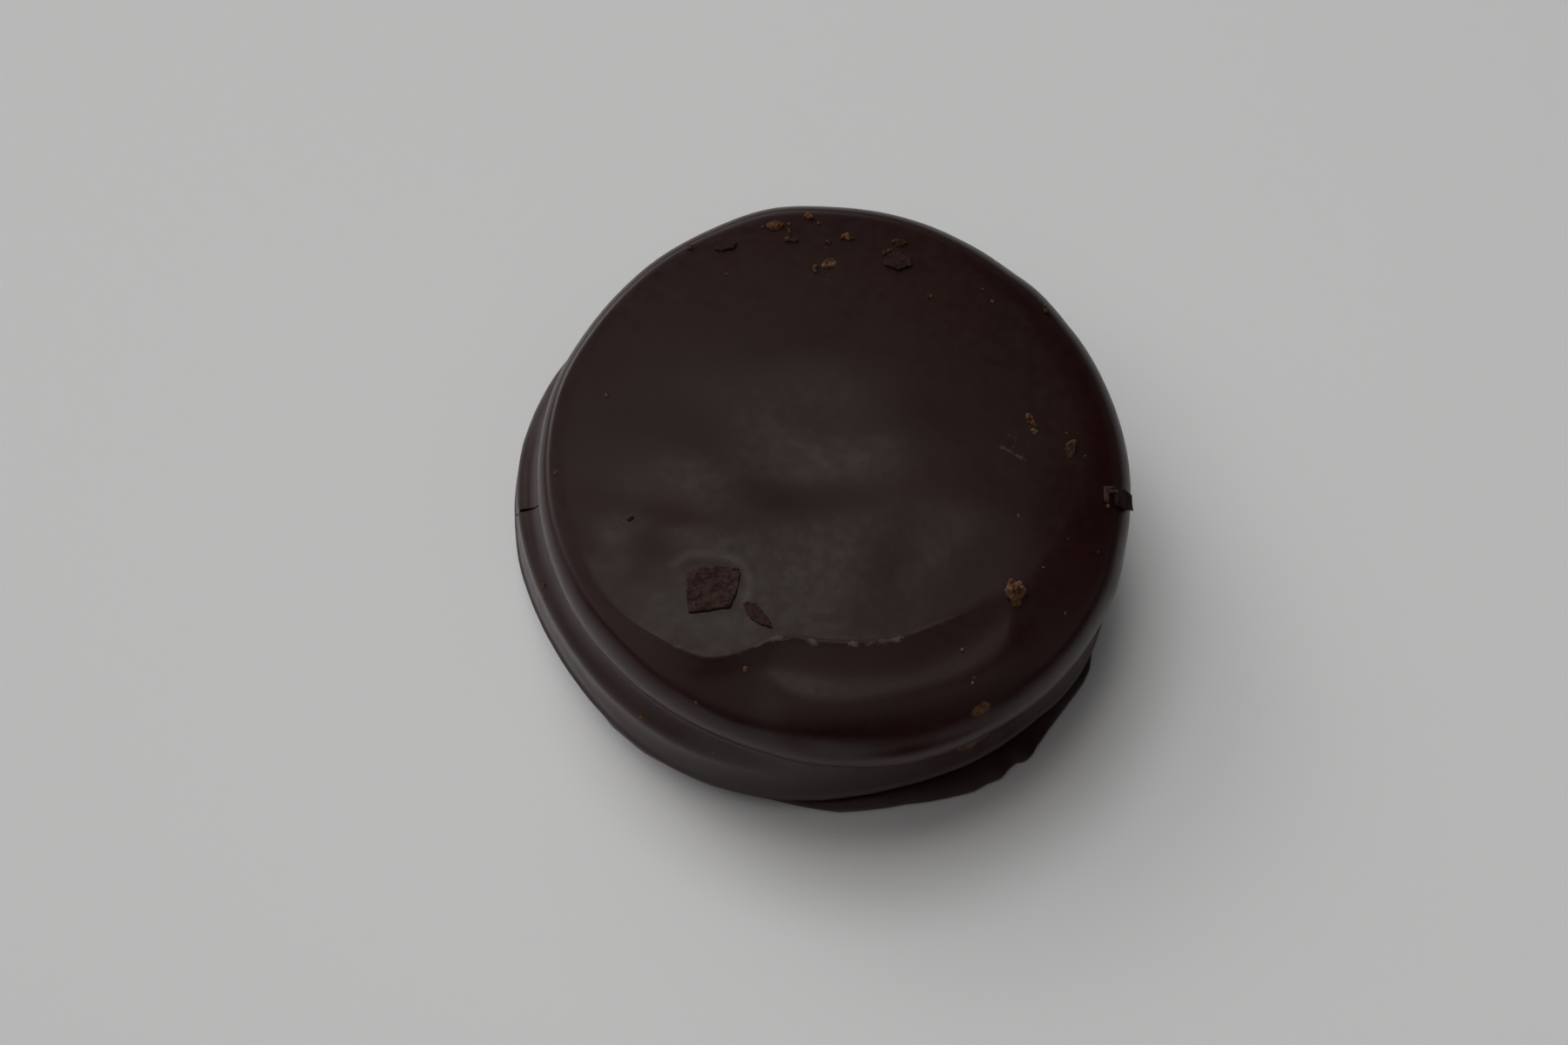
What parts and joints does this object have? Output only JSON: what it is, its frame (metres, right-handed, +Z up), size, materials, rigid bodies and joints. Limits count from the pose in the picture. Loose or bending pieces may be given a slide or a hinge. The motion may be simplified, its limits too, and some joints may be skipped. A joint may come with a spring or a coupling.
{
  "type": "alfajor",
  "caption": "Round dark-chocolate-coated sandwich biscuit with a ridged top, a groove round its side, a thin set foot, and flakes and crumbs stuck to the top.",
  "frame": {"origin": "on the table plane, under the middle of the bounding box", "axes": "+Z up through the thickness, -Y towards the front, where the ridge on the top and the widest part of the foot are, +X to the right"},
  "size_m": [0.0626, 0.062, 0.0166],
  "materials": {
    "dark_chocolate": "satin dark chocolate coat, worn pale along the ridge",
    "biscuit_crumb": "rough golden-brown biscuit"
  },
  "bodies": {
    "root": {"alfajor": "dark_chocolate"}
  },
  "joints": []
}
